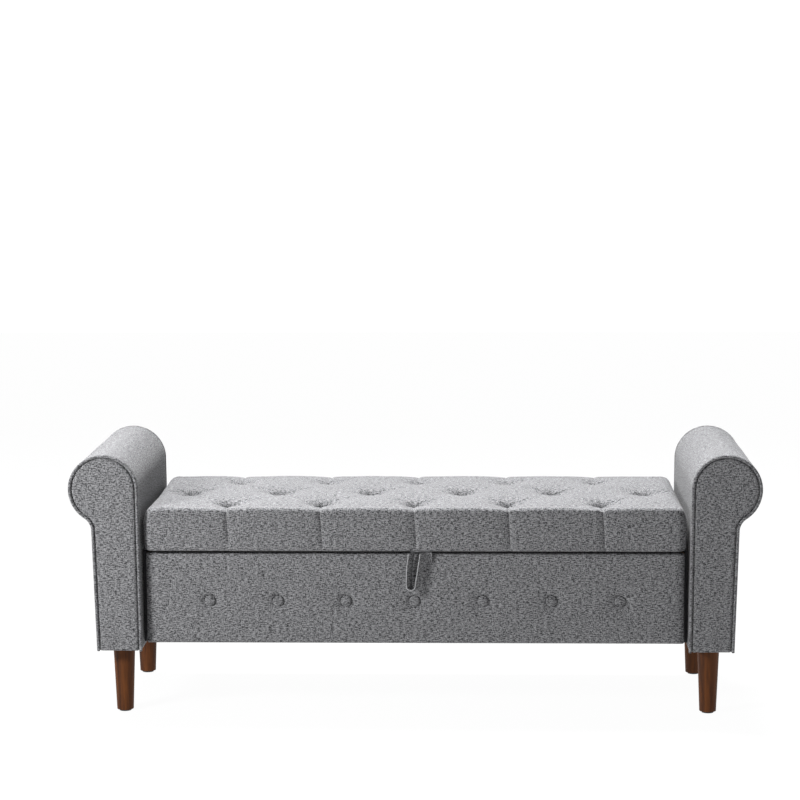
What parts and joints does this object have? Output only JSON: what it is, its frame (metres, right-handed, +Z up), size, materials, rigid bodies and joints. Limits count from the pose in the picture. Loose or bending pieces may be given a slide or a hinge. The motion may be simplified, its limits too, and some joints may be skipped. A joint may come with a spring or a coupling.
{
  "type": "storage bench",
  "caption": "Upholstered storage bench with rolled arms, a tufted flip-up lid on rear hinges with lift struts, a front pull strap and turned wooden legs.",
  "frame": {"origin": "floor level, below the middle of the bench", "axes": "+X along the bench, +Y to the rear, +Z up; the front faces -Y"},
  "size_m": [1.6, 0.5, 0.617],
  "materials": {
    "arm_cloth": "woven melange upholstery cloth",
    "facing_cloth": "woven melange upholstery cloth",
    "welt_cloth": "cloth-covered piping",
    "panel_cloth": "woven melange upholstery cloth",
    "button_cloth": "cloth-covered button",
    "seat_cloth": "woven melange upholstery cloth, tufted",
    "foam": "open-cell foam",
    "plywood": "bare plywood",
    "fibreboard": "bare fibreboard",
    "softwood": "sawn softwood",
    "leg_wood": "dark walnut stain, satin varnish",
    "lining_cloth": "thin bonded cloth",
    "steel": "zinc plated",
    "rod_steel": "polished",
    "strut_paint": "satin black paint",
    "glide_plastic": "matt",
    "bumper_rubber": "matt",
    "tape": "folded cloth tape"
  },
  "bodies": {
    "bench": {"arm_bolts": "steel", "arm_left_cover": "arm_cloth", "arm_left_foam": "foam", "arm_left_front_facing": "facing_cloth", "arm_left_front_profile_board": "fibreboard", "arm_left_inner_panel": "plywood", "arm_left_outer_panel": "fibreboard", "arm_left_rails": "softwood", "arm_left_rear_facing": "facing_cloth", "arm_left_rear_profile_board": "fibreboard", "arm_left_welts": "welt_cloth", "arm_right_cover": "arm_cloth", "arm_right_foam": "foam", "arm_right_front_facing": "facing_cloth", "arm_right_front_profile_board": "fibreboard", "arm_right_inner_panel": "plywood", "arm_right_outer_panel": "fibreboard", "arm_right_rails": "softwood", "arm_right_rear_facing": "facing_cloth", "arm_right_rear_profile_board": "fibreboard", "arm_right_welts": "welt_cloth", "bottom_board": "plywood", "box_screws": "steel", "dust_cover": "lining_cloth", "foot_glides": "glide_plastic", "front_board": "plywood", "front_buttons": "button_cloth", "front_cover": "panel_cloth", "front_foam": "foam", "glue_blocks": "softwood", "hinge_box_leaves": "steel", "hinge_pins": "steel", "leg_front_left": "leg_wood", "leg_front_right": "leg_wood", "leg_hanger_bolts": "steel", "leg_rear_left": "leg_wood", "leg_rear_right": "leg_wood", "lid_bumpers": "bumper_rubber", "rear_board": "plywood", "rear_cover": "panel_cloth", "side_board_left": "plywood", "side_board_right": "plywood", "storage_lining": "lining_cloth", "strut_box_brackets": "steel", "tee_nuts": "steel"},
    "lid": {"lid_board": "plywood", "lid_foam": "foam", "lid_cover": "seat_cloth", "lid_lining": "lining_cloth", "tuft_ties": "glide_plastic", "strap_anchor": "tape", "hinge_lid_leaves": "steel", "lid_screws": "steel", "strut_lid_brackets": "steel"},
    "strut_cylinder_left": {"strut_cylinder_left": "strut_paint"},
    "strut_cylinder_right": {"strut_cylinder_right": "strut_paint"},
    "strut_rod_left": {"strut_rod_left": "rod_steel"},
    "strut_rod_right": {"strut_rod_right": "rod_steel"},
    "pull_strap": {"pull_strap": "tape"}
  },
  "joints": [
    {"name": "lid_hinge", "type": "hinge", "parent": "bench", "child": "lid", "pos_m": [0, 0.2415, 0.3865], "axis": [-1, 0, 0], "range_deg": [0, 75]},
    {"name": "strut_left_box_pivot", "type": "hinge", "parent": "bench", "child": "strut_cylinder_left", "pos_m": [-0.597, 0.20279, 0.23125], "axis": [-1, 0, 0], "range_deg": [0, 37.5]},
    {"name": "strut_left_lid_pivot", "type": "hinge", "parent": "lid", "child": "strut_rod_left", "pos_m": [-0.597, 0.08306, 0.36423], "axis": [-1, 0, 0], "range_deg": [-37.5, 0]},
    {"name": "strut_right_box_pivot", "type": "hinge", "parent": "bench", "child": "strut_cylinder_right", "pos_m": [0.597, 0.20279, 0.23125], "axis": [-1, 0, 0], "range_deg": [0, 37.5]},
    {"name": "strut_right_lid_pivot", "type": "hinge", "parent": "lid", "child": "strut_rod_right", "pos_m": [0.597, 0.08306, 0.36423], "axis": [-1, 0, 0], "range_deg": [-37.5, 0]},
    {"name": "strap_swing", "type": "hinge", "parent": "lid", "child": "pull_strap", "pos_m": [0.014, -0.2285, 0.3866], "axis": [-1, 0, 0], "range_deg": [-75, 0]}
  ],
  "couplings": [
    {"joint": "strut_left_box_pivot", "follows": "lid_hinge", "ratio": 0.5},
    {"joint": "strut_left_lid_pivot", "follows": "lid_hinge", "ratio": -0.5},
    {"joint": "strut_right_box_pivot", "follows": "lid_hinge", "ratio": 0.5},
    {"joint": "strut_right_lid_pivot", "follows": "lid_hinge", "ratio": -0.5},
    {"joint": "strap_swing", "follows": "lid_hinge", "ratio": -1}
  ]
}
